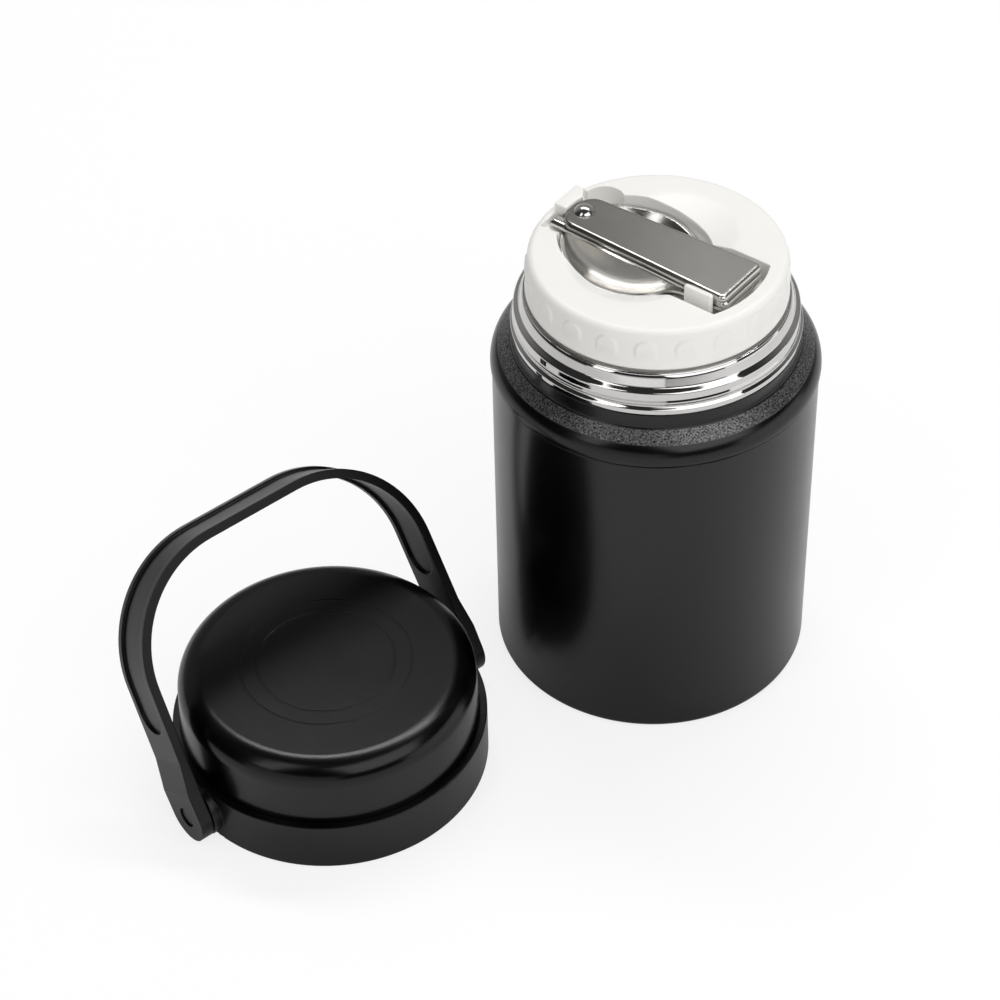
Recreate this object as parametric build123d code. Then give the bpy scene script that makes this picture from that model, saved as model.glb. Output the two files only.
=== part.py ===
"""Insulated food jar: double-walled steel jar, screw-in stopper that carries a folding spoon,
and a screw-on cap with a carrying bail, standing beside the jar on its mouth.

Millimetres, +Z up, origin at the centre of the jar's base. Solids of revolution are drawn as
(radius, height) profiles on Plane.XZ. The spoon and the stopper's top are drawn in the spoon's own
frame (X along the spoon towards its stem end) and then turned about the jar's axis by SPOON_TURN.
"""

import os
from math import cos, radians, sqrt, tan

from build123d import *

# ------------------------------------------------------------------ driving dimensions
# Jar
SHEET = 0.6  # steel sheet of every shell
BODY_RADIUS = 48.0
BODY_HEIGHT = 107.2  # floor to the crease under the shoulder
BASE_ROUND = 2.0
BASE_RIM = 4.0  # width of the shell's turned-in foot
CREASE_DEPTH = 0.35
SHOULDER_BULGE = 0.5  # how far the shoulder stands out past the wall
SHOULDER_HEIGHT = 9.6  # crease to the foot of the riser
SHOULDER_SLOPE = 41.0  # fall of the shoulder outwards from the riser, degrees
SHOULDER_ROUND = 7.4
RISER_INSET = 5.6  # riser inside the body's wall
RISER_RADIUS = BODY_RADIUS - RISER_INSET
RISER_HEIGHT = 3.7
NECK_RADIUS = RISER_RADIUS - 1.8
NECK_HEIGHT = 13.6  # riser top to lip
NECK_BEAD = 1.7  # how far the bead stands out past the neck
NECK_SPACE = 2.0  # vacuum between the walls at the neck
MOUTH_RADIUS = NECK_RADIUS - 2 * SHEET - NECK_SPACE  # inside the flask's mouth
VACUUM_SPACE = 4.0  # vacuum between the walls of the body
FLASK_RADIUS = BODY_RADIUS - 2 * SHEET - VACUUM_SPACE  # inside the flask's body
FLASK_FLOOR = 9.0  # underside of the flask above the table
FLASK_ROUND = 10.0
FLASK_HIP_ROUND = 4.0  # where the flask's wall turns in under the neck
FLASK_NECK_ROUND = 3.0
VACUUM_FLOOR = 4.0  # underside of the vacuum bottom above the table
VACUUM_FLANGE = 5.0  # its turned-up edge
GETTER_RADIUS = 4.5
GETTER_THICKNESS = 2.0
GETTER_OFFSET = 20.0
SEAL_HOLE = 1.6
BASE_GROOVE = 0.8  # depth of the stiffening groove pressed into the base

# Stopper
SEAT_GAP = 0.3  # stopper skirt above the lip
STOPPER_HEIGHT = 12.4  # skirt's foot to its flat top
STOPPER_RADIUS = NECK_RADIUS - 2.5  # at the skirt's foot
STOPPER_TOP_RADIUS = STOPPER_RADIUS - 1.0
STOPPER_ROUND = 2.0
STOPPER_WALL = 2.0
GRIP_COUNT = 21
GRIP_WIDTH = 6.6
GRIP_HEIGHT = 9.8
GRIP_RELIEF = 0.35
GRIP_START = -94.1  # azimuth of the first grip, degrees
PLUG_GAP = 0.5  # plug to mouth, radially
PLUG_DEPTH = 22.0
WELD_HEIGHT = 4.0  # how far the plug's collar reaches up inside the skirt
FOAM_HEIGHT = 15.0
GASKET_HEIGHT = 3.0
GASKET_DEPTH = 1.6  # depth of its groove in the plug
GASKET_LIFT = 2.0  # gasket groove above the plug's foot
GASKET_GAP = 0.3  # gasket to mouth, radially

# Spoon, folded
SPOON_TURN = -34.35  # direction of the stem end, degrees
PLATE = 1.0  # thickness of handle, link and stem
FLANGE = 1.8  # depth of the handle's and the link's folded edges
FOLD_ROUND = 1.4  # outer radius of the folds
HANDLE_TOP = 2.6  # handle's face above the stopper's flat top
HANDLE_LEFT = -30.1
HANDLE_RIGHT = 29.3
HANDLE_HALF_LEFT = 7.7
HANDLE_HALF_RIGHT = 10.0
HANDLE_END_ROUND = 5.75
HANDLE_CORNER = 2.0
MEMBER_STEP = 2.0  # each member lies this far below the one above
LINK_INSET = 0.25
LINK_LEFT = -30.9
LINK_RIGHT = 29.9
LINK_END_ROUND = 4.2
TAB_LEFT = -33.0
TAB_NEAR = -7.3
TAB_FAR = -3.1
STEM_RIGHT = 30.0
STEM_HALF = 10.0
BOWL_X = -7.7
BOWL_HALF_LENGTH = 24.2  # half axes of the ellipsoid from which the bowl is cut
BOWL_HALF_WIDTH = 22.8
BOWL_HALF_HEIGHT = 18.0
BOWL_SEMI = Vector(BOWL_HALF_LENGTH, BOWL_HALF_WIDTH, BOWL_HALF_HEIGHT)
BOWL_DEPTH = 11.4  # top of stem to bottom of bowl
RIM_DROP = 2.6  # lowest part of the rim below the stem
RIM_REACH = -40.0  # where the curve of the rim starts, clear of the bowl's left end
HANDLE_PIVOT = -25.8
BOWL_PIVOT = 22.5
RIVET_RADIUS = 1.5
RIVET_HEAD_RADIUS = 3.1
RIVET_DOME = 1.6
RIVET_TAIL_RADIUS = 2.6
RIVET_TAIL = 0.8
WASHER_RADIUS = 3.1
PIVOT_GAP = 0.05  # running clearance of every pivot, radially
SLIDE_GAP = 0.1  # face clearance of every pivot

# Stopper's spoon recess, in the spoon's frame
POCKET_GAP = 0.8  # recess wall to bowl
SLOT_NEAR = 14.1
SLOT_FAR = 12.9
SLOT_END = 32.1  # radius of the slot's far end about the jar's axis
SLOT_FLOOR_GAP = 0.5
TUB_WALL = 1.6
NOTCH_X = -26.6  # round notch at the spoon's far left
NOTCH_Y = 10.9
NOTCH_RADIUS = 5.8
NOTCH_DEPTH = 4.8
RIM_LAND = 1.5  # least width of the flat top left outside the recess
TAB_SLOT_NEAR = 10.0
TAB_SLOT_FAR = 10.7
TAB_SLOT_LEFT = -34.0
TAB_SLOT_GAP = 0.6
NEAR_SCOOP = Vector(-3.5, -7.0, 18.7)  # x, y and radius of each finger scoop at the flat top
NEAR_SCOOP_BALL = 29.5
FAR_SCOOP = Vector(-1.0, 11.0, 17.5)
FAR_SCOOP_BALL = 33.5
CLIP_LEFT = 17.1
CLIP_RIGHT = 26.3
CLIP_RISE = 3.2  # clip's top above the stopper's flat top
CLIP_THICKNESS = 1.8
CLIP_ROUND = 0.7
CLIP_GAP = 0.3  # clip to stem
LUG_SPACE = 0.15  # lug to handle and link
LUG_OUTLINE = [(-34.7, -2.7), (-29.0, -2.7), (-29.0, 4.0), (-32.2, 8.3), (-34.7, 8.3)]
LUG_RISE = 3.2
LUG_ROUND = 0.6
LUG_GAP = 0.3  # lug to bowl

# Cap, in its own frame: X along the bail's pivot axis
CAP_DISTANCE = 112.65  # jar's axis to cap's axis
CAP_BEARING = 212.12  # direction from the jar to the cap, degrees
CAP_CENTRE = Vector(CAP_DISTANCE, 0, 0).rotate(Axis.Z, CAP_BEARING)
CAP_TURN = 43.2
BAND_RADIUS = 47.3
BAND_HEIGHT = 17.0
BAND_WALL = 2.3
BAND_ROUND = 0.85
CAP_HEIGHT = 38.0
DOME_TOP_RADIUS = 44.3
DOME_ROUND = 7.0
DOME_SIDE_ROUND = 20.0
DOME_LIFT = 1.0  # dome's lower edge above the table
DOME_GROOVES = [20.5, 25.7]
DOME_GROOVE_DEPTH = 0.2
DOME_GROOVE_WIDTH = 0.7
LINER_RADIUS = 42.0
LINER_WALL = 1.4
LINER_CEILING = 34.4
LINER_FLOOR = 1.0
BOSS_RADIUS = 8.2
BOSS_REACH = 49.6
BAIL_AXIS_HEIGHT = 8.5
BAIL_TILT = 30.6
BAIL_HALF_SPAN = 53.0
BAIL_HEIGHT = 76.5
BAIL_CORNER = 36.0
BAIL_LEAN = 1.9
BAIL_WIDTH = 16.0
BAIL_THICKNESS = 2.8
BAIL_GROOVE = 0.8
BAIL_RIM = 2.0
BAIL_GROOVE_START = 27.0
FOOT_THICKNESS = 4.0
FOOT_GAP = 0.4
FOOT_TAPER = 18.0
PIN_RADIUS = 2.0
PIN_HEAD_RADIUS = 3.1
PIN_HEAD = 1.2
PIN_HEAD_SINK = 0.5
PIN_BITE = 3.6  # how far a pin reaches into its boss

# ------------------------------------------------------------------ heights that follow
SHOULDER_Z = BODY_HEIGHT + SHOULDER_HEIGHT
RISER_Z = SHOULDER_Z + RISER_HEIGHT
LIP_Z = RISER_Z + NECK_HEIGHT
SKIRT_Z = LIP_Z + SEAT_GAP
TOP_Z = SKIRT_Z + STOPPER_HEIGHT
PLUG_Z = SKIRT_Z - PLUG_DEPTH
HANDLE_Z = TOP_Z + HANDLE_TOP
LINK_Z = HANDLE_Z - MEMBER_STEP
STEM_Z = LINK_Z - MEMBER_STEP
BOWL_Z = STEM_Z - BOWL_DEPTH
RIM_Z = STEM_Z - RIM_DROP
BOWL_CENTRE = Vector(BOWL_X, 0, BOWL_Z + BOWL_SEMI.Z)
SLOT_FLOOR = min(RIM_Z, STEM_Z - RIVET_TAIL) - PLATE - SLOT_FLOOR_GAP
PLUG_RADIUS = MOUTH_RADIUS - PLUG_GAP
COLLAR_RADIUS = STOPPER_RADIUS - STOPPER_WALL
GASKET_Z = PLUG_Z + GASKET_LIFT
TALL = 30.0  # reach of a cutter past the face it opens

spoon_frame = Rot(0, 0, SPOON_TURN)
cap_frame = Pos(CAP_CENTRE) * Rot(0, 0, CAP_TURN)


# ------------------------------------------------------------------ shared forms
def turned(*outline):
    """Solid of revolution about Z from a closed (radius, height) outline."""
    return revolve(Plane.XZ * make_face(Polyline(*outline, close=True)), Axis.Z)


def spun_sheet(points, rounds):
    """Sheet metal turned about Z: an outer (radius, height) path with a round at each corner,
    thickened by SHEET to its left."""
    path = FilletPolyline(*points, radius=rounds)
    outline = path.offset_2d(SHEET, kind=Kind.INTERSECTION, side=Side.LEFT, closed=True)
    return revolve(Plane.XZ * make_face(outline), Axis.Z)


def post(radius, low, high, x=0.0, y=0.0):
    """Upright cylinder between two heights."""
    return Pos(x, y, low) * Cylinder(radius, high - low, align=(Align.CENTER, Align.CENTER, Align.MIN))


def block(x, y, z):
    """Box from three (low, high) spans."""
    size = [high - low for low, high in (x, y, z)]
    return Pos(x[0], y[0], z[0]) * Box(*size, align=(Align.MIN, Align.MIN, Align.MIN))


def prism(outline, low, high):
    """Upright prism on a closed (x, y) outline."""
    return Pos(0, 0, low) * extrude(make_face(Polyline(*outline, close=True)), high - low)


def section_scale(height):
    """Size of the bowl ellipsoid's level section at a height, as a share of its widest one."""
    return sqrt(1 - ((BOWL_CENTRE.Z - height) / BOWL_SEMI.Z) ** 2)


# ------------------------------------------------------------------ jar
def make_outer_shell():
    """Straight wall, pressed crease, then one full round up and in to the riser."""
    bulge = BODY_RADIUS + SHOULDER_BULGE
    lip = CREASE_DEPTH + 0.15  # half the crease's width
    brow = SHOULDER_Z - (bulge - RISER_RADIUS) * tan(radians(SHOULDER_SLOPE))
    return spun_sheet(
        [
            (BODY_RADIUS - BASE_RIM, 0),
            (BODY_RADIUS, 0),
            (BODY_RADIUS, BODY_HEIGHT - lip),
            (BODY_RADIUS - CREASE_DEPTH, BODY_HEIGHT),
            (bulge, BODY_HEIGHT + lip),
            (bulge, brow),
            (RISER_RADIUS, SHOULDER_Z),
            (RISER_RADIUS, RISER_Z),
        ],
        [BASE_ROUND, 0.2, 0.2, 0.2, SHOULDER_ROUND, 0.4],
    )


def make_neck_ring():
    sleeve = RISER_RADIUS - SHEET
    lip_inner = MOUTH_RADIUS + SHEET
    bead = NECK_RADIUS + NECK_BEAD
    return spun_sheet(
        [
            (sleeve, RISER_Z - RISER_HEIGHT),
            (sleeve, RISER_Z + 0.05),
            (bead, RISER_Z + 0.35),
            (bead, RISER_Z + 1.6),
            (NECK_RADIUS, RISER_Z + 2.4),
            (NECK_RADIUS, LIP_Z),
            (lip_inner, LIP_Z),
            (lip_inner, LIP_Z - 0.45 * NECK_HEIGHT),
        ],
        [0.1, 0.2, 0.5, 0.6, 1.6, 0.9],
    )


def make_inner_flask():
    mouth = MOUTH_RADIUS + SHEET
    body = FLASK_RADIUS + SHEET
    flare = body - mouth
    neck_foot = BODY_HEIGHT + 0.4 * SHOULDER_HEIGHT
    return spun_sheet(
        [
            (0, FLASK_FLOOR),
            (body, FLASK_FLOOR),
            (body, neck_foot - 1.2 * flare),
            (mouth, neck_foot),
            (mouth, LIP_Z - 0.5),
        ],
        [FLASK_ROUND, FLASK_HIP_ROUND, FLASK_NECK_ROUND],
    )


def make_vacuum_bottom():
    wall = BODY_RADIUS - SHEET
    return spun_sheet(
        [(SEAL_HOLE, VACUUM_FLOOR), (wall, VACUUM_FLOOR), (wall, VACUUM_FLOOR + VACUUM_FLANGE)],
        [1.5],
    )


def make_vacuum_seal():
    under = VACUUM_FLOOR
    bead = turned((0, under - 1.0), (1.8, under - 1.0), (3.0, under - 0.4), (3.0, under), (0, under))
    return bead + post(SEAL_HOLE, under, under + SHEET)


def make_getter():
    low = VACUUM_FLOOR + SHEET
    return post(GETTER_RADIUS, low, low + GETTER_THICKNESS, GETTER_OFFSET)


def make_base_cup():
    radius = BODY_RADIUS - BASE_RIM
    groove = radius - 14.0
    return spun_sheet(
        [
            (0, 0),
            (groove, 0),
            (groove + 0.8, BASE_GROOVE),
            (groove + 6.0, BASE_GROOVE),
            (groove + 6.8, 0),
            (radius, 0),
            (radius, VACUUM_FLOOR),
        ],
        [0.3, 0.3, 0.3, 0.3, 0.3],
    )


# ------------------------------------------------------------------ stopper
def skirt_body(grow=0.0):
    """Solid outside form of the stopper's top, grown outwards."""
    foot = STOPPER_RADIUS + grow
    head = STOPPER_TOP_RADIUS + grow
    rim = FilletPolyline((foot, SKIRT_Z), (head, TOP_Z), (0, TOP_Z), radius=STOPPER_ROUND)
    rest = Polyline((0, TOP_Z), (0, SKIRT_Z), (foot, SKIRT_Z))
    return revolve(Plane.XZ * make_face(rim + rest), Axis.Z)


def scoop(place, ball, grow):
    """Spherical finger scoop that is place.Z wide at the stopper's flat top."""
    height = sqrt(ball**2 - place.Z**2)
    return Pos(place.X, place.Y, TOP_Z + height) * Sphere(ball + grow)


def bowl_pocket(grow):
    """Straight-sided hollow round the bowl with the bowl's own shape as its floor."""
    gap = POCKET_GAP + grow
    across = BOWL_SEMI.Y * section_scale(RIM_Z) + gap
    along = BOWL_SEMI.X * section_scale(STEM_Z) + gap
    wall = Pos(BOWL_X, 0, BOWL_Z - TALL) * extrude(Ellipse(along, across), 2 * TALL)
    size = BOWL_SEMI + Vector(gap, gap, gap)
    floor = Pos(BOWL_CENTRE) * scale(Sphere(1), by=(size.X, size.Y, size.Z))
    return wall & floor


def spoon_recess(grow=0.0):
    """Everything that is hollowed out of the stopper's top for the spoon and the fingers.
    Grown, the same form is the outside of the tub that holds the spoon."""
    high = TOP_Z + STOPPER_ROUND
    slot = block(
        (0, SLOT_END + 5), (-SLOT_NEAR - grow, SLOT_FAR + grow), (SLOT_FLOOR - grow, high)
    ) & post(SLOT_END + grow, SLOT_FLOOR - grow, high)
    tab_floor = LINK_Z - FLANGE - TAB_SLOT_GAP - grow
    tab = block(
        (TAB_SLOT_LEFT - grow, BOWL_X), (-TAB_SLOT_NEAR - grow, TAB_SLOT_FAR + grow), (tab_floor, high)
    )
    notch = post(NOTCH_RADIUS + grow, TOP_Z - NOTCH_DEPTH - grow, high, NOTCH_X, NOTCH_Y)
    within = post(STOPPER_TOP_RADIUS - RIM_LAND + grow, SLOT_FLOOR - TALL, high)
    scoops = scoop(NEAR_SCOOP, NEAR_SCOOP_BALL, grow) + scoop(FAR_SCOOP, FAR_SCOOP_BALL, grow)
    scoops &= post(STOPPER_TOP_RADIUS, SLOT_FLOOR, high)
    return (bowl_pocket(grow) & post(STOPPER_RADIUS, BOWL_Z - TALL, high)) + slot + scoops + (
        (tab + notch) & within
    )


def tapered(left, right, end_round, inset):
    """Tapered outline of handle and link, its left corners rounded by end_round."""
    near_left = HANDLE_HALF_LEFT - inset
    near_right = HANDLE_HALF_RIGHT - inset
    face = make_face(
        Polyline(
            (left, -near_left), (right, -near_right), (right, near_right), (left, near_left), close=True
        )
    )
    face = fillet(face.vertices().sort_by(Axis.X)[:2], end_round)
    return fillet(face.vertices().sort_by(Axis.X)[-2:], HANDLE_CORNER)


def handle_outline(grow=0.0):
    return tapered(HANDLE_LEFT - grow, HANDLE_RIGHT + grow, HANDLE_END_ROUND + grow, -grow)


def link_outline(grow=0.0):
    return tapered(LINK_LEFT - grow, LINK_RIGHT + grow, LINK_END_ROUND + grow, LINK_INSET - grow)


def make_clip():
    """Upright tab that stands in the recess at the spoon's near side, its upper edges rounded."""
    back = -STEM_HALF - CLIP_GAP
    low = SLOT_FLOOR - TUB_WALL / 2
    tab = block((CLIP_LEFT, CLIP_RIGHT), (back - CLIP_THICKNESS, back), (low, TOP_Z + CLIP_RISE))
    tab = fillet(tab.edges().filter_by(Axis.Z), CLIP_ROUND)
    return fillet(tab.faces().sort_by(Axis.Z)[-1].edges(), CLIP_ROUND)


def make_lug():
    """Stop at the spoon's left end, hollowed to the round corners of handle and link."""
    high = TOP_Z + LUG_RISE
    body = prism(LUG_OUTLINE, TOP_Z - NOTCH_DEPTH - 0.5, high)
    body &= post(STOPPER_TOP_RADIUS - 0.6, SLOT_FLOOR - TALL, high)
    body = fillet(body.edges().group_by(Axis.Z)[-1], LUG_ROUND)
    for outline in (handle_outline(LUG_SPACE), link_outline(LUG_SPACE)):
        body -= Pos(0, 0, BOWL_Z) * extrude(outline, TALL)
    return body - bowl_pocket(LUG_GAP - POCKET_GAP)


def make_grip():
    """One raised thumb grip: an upright strip with a round head on the skirt."""
    half = GRIP_WIDTH / 2
    head = GRIP_HEIGHT - half
    outline = make_face(
        Polyline((-half, head), (-half, 0), (half, 0), (half, head))
        + ThreePointArc((half, head), (0, GRIP_HEIGHT), (-half, head))
    )
    reach = STOPPER_RADIUS + 2 * GRIP_RELIEF
    strip = Pos(COLLAR_RADIUS, 0, SKIRT_Z) * extrude(Plane.YZ * outline, reach - COLLAR_RADIUS)
    return strip & skirt_body(GRIP_RELIEF)


def make_stopper_top():
    outside = skirt_body()
    hollow = post(COLLAR_RADIUS, SKIRT_Z, TOP_Z - STOPPER_WALL)
    reach = outside + post(COLLAR_RADIUS - STOPPER_WALL - 0.1, BOWL_Z - TALL, SKIRT_Z)
    tub = spoon_frame * spoon_recess(TUB_WALL) & reach
    top = (outside - hollow) + tub - spoon_frame * spoon_recess()
    grips = PolarLocations(0, GRIP_COUNT, start_angle=GRIP_START)
    grip = make_grip() - post(COLLAR_RADIUS + 0.5 * STOPPER_WALL, SKIRT_Z, TOP_Z)
    top += [place * grip for place in grips]
    return top + spoon_frame * (make_clip() + make_lug())


def make_stopper_plug():
    inner = COLLAR_RADIUS - STOPPER_WALL
    groove = PLUG_RADIUS - GASKET_DEPTH
    weld = SKIRT_Z + WELD_HEIGHT
    cup = turned(
        (0, PLUG_Z),
        (PLUG_RADIUS - 1.0, PLUG_Z),
        (PLUG_RADIUS, PLUG_Z + 1.0),
        (PLUG_RADIUS, GASKET_Z),
        (groove, GASKET_Z),
        (groove, GASKET_Z + GASKET_HEIGHT),
        (PLUG_RADIUS, GASKET_Z + GASKET_HEIGHT),
        (PLUG_RADIUS, SKIRT_Z),
        (COLLAR_RADIUS, SKIRT_Z),
        (COLLAR_RADIUS, weld),
        (inner, weld),
        (inner, PLUG_Z + STOPPER_WALL),
        (0, PLUG_Z + STOPPER_WALL),
    )
    return cup


def make_stopper_foam():
    low = PLUG_Z + STOPPER_WALL
    return post(COLLAR_RADIUS - STOPPER_WALL - 0.3, low, low + FOAM_HEIGHT)


def make_stopper_gasket():
    inner = PLUG_RADIUS - GASKET_DEPTH + SLIDE_GAP
    outer = MOUTH_RADIUS - GASKET_GAP
    low = GASKET_Z + SLIDE_GAP
    high = GASKET_Z + GASKET_HEIGHT - SLIDE_GAP
    middle = (low + high) / 2
    return turned(
        (inner, low), (outer - 0.4, low), (outer, low + 0.6), (outer - 0.5, middle),
        (outer, high - 0.6), (outer - 0.4, high), (inner, high),
    )


# ------------------------------------------------------------------ spoon
def channel(outline, top):
    """Plate with its edges folded down all round."""
    body = Pos(0, 0, top - FLANGE) * extrude(outline, FLANGE)
    body = fillet(body.faces().sort_by(Axis.Z)[-1].outer_wire().edges(), FOLD_ROUND)
    return body - Pos(0, 0, top - FLANGE) * extrude(offset(outline, -PLATE), FLANGE - PLATE)


def make_spoon_handle():
    plate = channel(handle_outline(), HANDLE_Z)
    hole = post(RIVET_RADIUS + PIVOT_GAP, HANDLE_Z - TALL, HANDLE_Z + TALL, HANDLE_PIVOT)
    return plate - hole


def make_spoon_link():
    tab = Rectangle(HANDLE_PIVOT - TAB_LEFT, TAB_FAR - TAB_NEAR, align=(Align.MIN, Align.MIN))
    outline = link_outline() + Pos(TAB_LEFT, TAB_NEAR) * tab
    plate = channel(outline.faces()[0], LINK_Z)
    for x in (HANDLE_PIVOT, BOWL_PIVOT):
        plate -= post(RIVET_RADIUS, LINK_Z - TALL, LINK_Z + TALL, x)
    return plate


def rim_region(drop):
    """Everything below the side view of the rim and stem, lowered by drop."""
    heel = BOWL_X + BOWL_SEMI.X * section_scale(RIM_Z)
    curve = Spline(
        (RIM_REACH, STEM_Z + 1.8 - drop),
        (BOWL_X - BOWL_SEMI.X * 0.93, STEM_Z - drop),
        (BOWL_X - 12.0, RIM_Z + 0.9 - drop),
        (BOWL_X, RIM_Z + 0.05 - drop),
        (heel - 4.5, RIM_Z + 0.35 - drop),
        (heel + 3.0, STEM_Z - drop),
        tangents=((1, -0.25), (1, 0)),
    )
    rest = Polyline(
        (heel + 3.0, STEM_Z - drop), (STEM_RIGHT + 5, STEM_Z - drop), (STEM_RIGHT + 5, BOWL_Z - TALL),
        (RIM_REACH, BOWL_Z - TALL), (RIM_REACH, STEM_Z + 1.8 - drop),
    )
    face = Plane.XZ * make_face(curve + rest)
    return extrude(face, 2 * TALL, both=True)


def bowl_ellipsoid(inset=0.0):
    size = BOWL_SEMI - Vector(inset, inset, inset)
    return Pos(BOWL_CENTRE) * scale(Sphere(1), by=(size.X, size.Y, size.Z))


def make_spoon_bowl():
    under_rim = rim_region(0)
    shell = bowl_ellipsoid() & under_rim
    stem_face = make_face(
        Polyline(
            (BOWL_X + 12, -STEM_HALF), (STEM_RIGHT, -STEM_HALF), (STEM_RIGHT, STEM_HALF),
            (BOWL_X + 12, STEM_HALF), close=True,
        )
    )
    stem_face = fillet(stem_face.vertices().sort_by(Axis.X)[-2:], 4.0)
    stem = Pos(0, 0, BOWL_Z) * extrude(stem_face, TALL) & (under_rim - rim_region(PLATE))
    spoon = shell + stem - bowl_ellipsoid(PLATE)
    spoon -= post(RIVET_RADIUS + PIVOT_GAP, BOWL_Z, STEM_Z + TALL, BOWL_PIVOT)
    return spoon.solids().sort_by(SortBy.VOLUME)[-1]


def make_handle_rivet():
    """Domed head over the handle, shank through washer and link, peened tail."""
    seat = HANDLE_Z + SLIDE_GAP
    ball = (RIVET_HEAD_RADIUS**2 + RIVET_DOME**2) / (2 * RIVET_DOME)
    dome = Pos(0, 0, seat + RIVET_DOME - ball) * Sphere(ball) & post(
        RIVET_HEAD_RADIUS, seat, seat + TALL
    )
    under = LINK_Z - PLATE
    shank = post(RIVET_RADIUS, under, seat)
    tail = post(RIVET_TAIL_RADIUS, under - RIVET_TAIL, under)
    return Pos(HANDLE_PIVOT, 0, 0) * (dome + shank + tail)


def make_bowl_rivet():
    """Flush in the link, peened under the stem."""
    under = STEM_Z - PLATE - SLIDE_GAP
    shank = post(RIVET_RADIUS, under, LINK_Z)
    tail = post(RIVET_TAIL_RADIUS, under - RIVET_TAIL + SLIDE_GAP, under)
    return Pos(BOWL_PIVOT, 0, 0) * (shank + tail)


def make_washer(x, low, high):
    return post(WASHER_RADIUS, low, high, x) - post(RIVET_RADIUS, low - 1, high + 1, x)


# ------------------------------------------------------------------ cap
def make_cap_dome():
    inner = BAND_RADIUS - BAND_WALL
    dome = spun_sheet(
        [(inner, DOME_LIFT), (inner, BAND_HEIGHT), (DOME_TOP_RADIUS, CAP_HEIGHT), (0, CAP_HEIGHT)],
        [DOME_SIDE_ROUND, DOME_ROUND],
    )
    for radius in DOME_GROOVES:
        half = DOME_GROOVE_WIDTH / 2
        deep = CAP_HEIGHT - DOME_GROOVE_DEPTH
        dome -= turned((radius - half, deep), (radius + half, deep), (radius + half, CAP_HEIGHT + 1),
                       (radius - half, CAP_HEIGHT + 1))
    return dome


def make_cap_band():
    inner = BAND_RADIUS - BAND_WALL
    ring = post(BAND_RADIUS, 0, BAND_HEIGHT)
    ring = fillet(ring.edges().group_by(Axis.Z)[0], BAND_ROUND)
    ring = fillet(ring.edges().group_by(Axis.Z)[-1], 0.3)
    for side in (-1, 1):
        boss = Cylinder(BOSS_RADIUS, BOSS_REACH, align=(Align.CENTER, Align.CENTER, Align.MIN))
        boss = fillet(boss.edges().group_by(Axis.Z)[-1], 0.6)
        ring += Pos(0, 0, BAIL_AXIS_HEIGHT) * Rot(0, side * 90, 0) * boss
    ring -= post(inner, -1, BAND_HEIGHT + 1)
    for side in (-1, 1):
        bore = Cylinder(PIN_RADIUS, TALL, align=(Align.CENTER, Align.CENTER, Align.MIN))
        ring -= Pos(side * (BOSS_REACH - PIN_BITE), 0, BAIL_AXIS_HEIGHT) * Rot(0, side * 90, 0) * bore
    return ring


def make_cap_liner():
    outer = LINER_RADIUS + LINER_WALL
    lip = BAND_RADIUS - BAND_WALL - SHEET
    ceiling = LINER_CEILING + LINER_WALL
    crown = DOME_TOP_RADIUS - DOME_ROUND
    return turned(
        (LINER_RADIUS, LINER_FLOOR),
        (lip, LINER_FLOOR),
        (lip, LINER_FLOOR + 1.6),
        (outer, LINER_FLOOR + 3.0),
        (outer, ceiling - 6.0),
        (crown + 2.0, ceiling),
        (0, ceiling),
        (0, LINER_CEILING),
        (crown + 0.8, LINER_CEILING),
        (LINER_RADIUS, ceiling - 7.0),
    )


def make_cap_foam():
    low = LINER_CEILING + LINER_WALL
    return post(DOME_TOP_RADIUS - DOME_ROUND, low, CAP_HEIGHT - SHEET)


def bail_contour(inset):
    """Right half of the bail's outline in (span, height above the pivot): a leaning arm, a round
    corner and a straight top. Insets follow the arm and the top."""
    lean = radians(BAIL_LEAN)
    top = BAIL_HEIGHT - inset
    low = -BAIL_WIDTH / 2
    foot = BAIL_HALF_SPAN - inset / cos(lean) - low * tan(lean)
    shoulder = BAIL_HALF_SPAN - inset / cos(lean) - top * tan(lean)
    return (foot, low), (shoulder, top), BAIL_CORNER - inset


def bail_loop(outer, inner, half_width):
    """Hoop between two insets of the bail's outline."""
    faces = []
    for inset in (outer, inner):
        foot, shoulder, corner = bail_contour(inset)
        legs = [(foot[0], foot[1]), shoulder, (-shoulder[0], shoulder[1]), (-foot[0], foot[1])]
        path = FilletPolyline(*legs, radius=corner)
        faces.append(make_face(path + Line(legs[-1], legs[0])))
    return extrude(Plane.XZ * (faces[0] - faces[1]), half_width, both=True)


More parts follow.
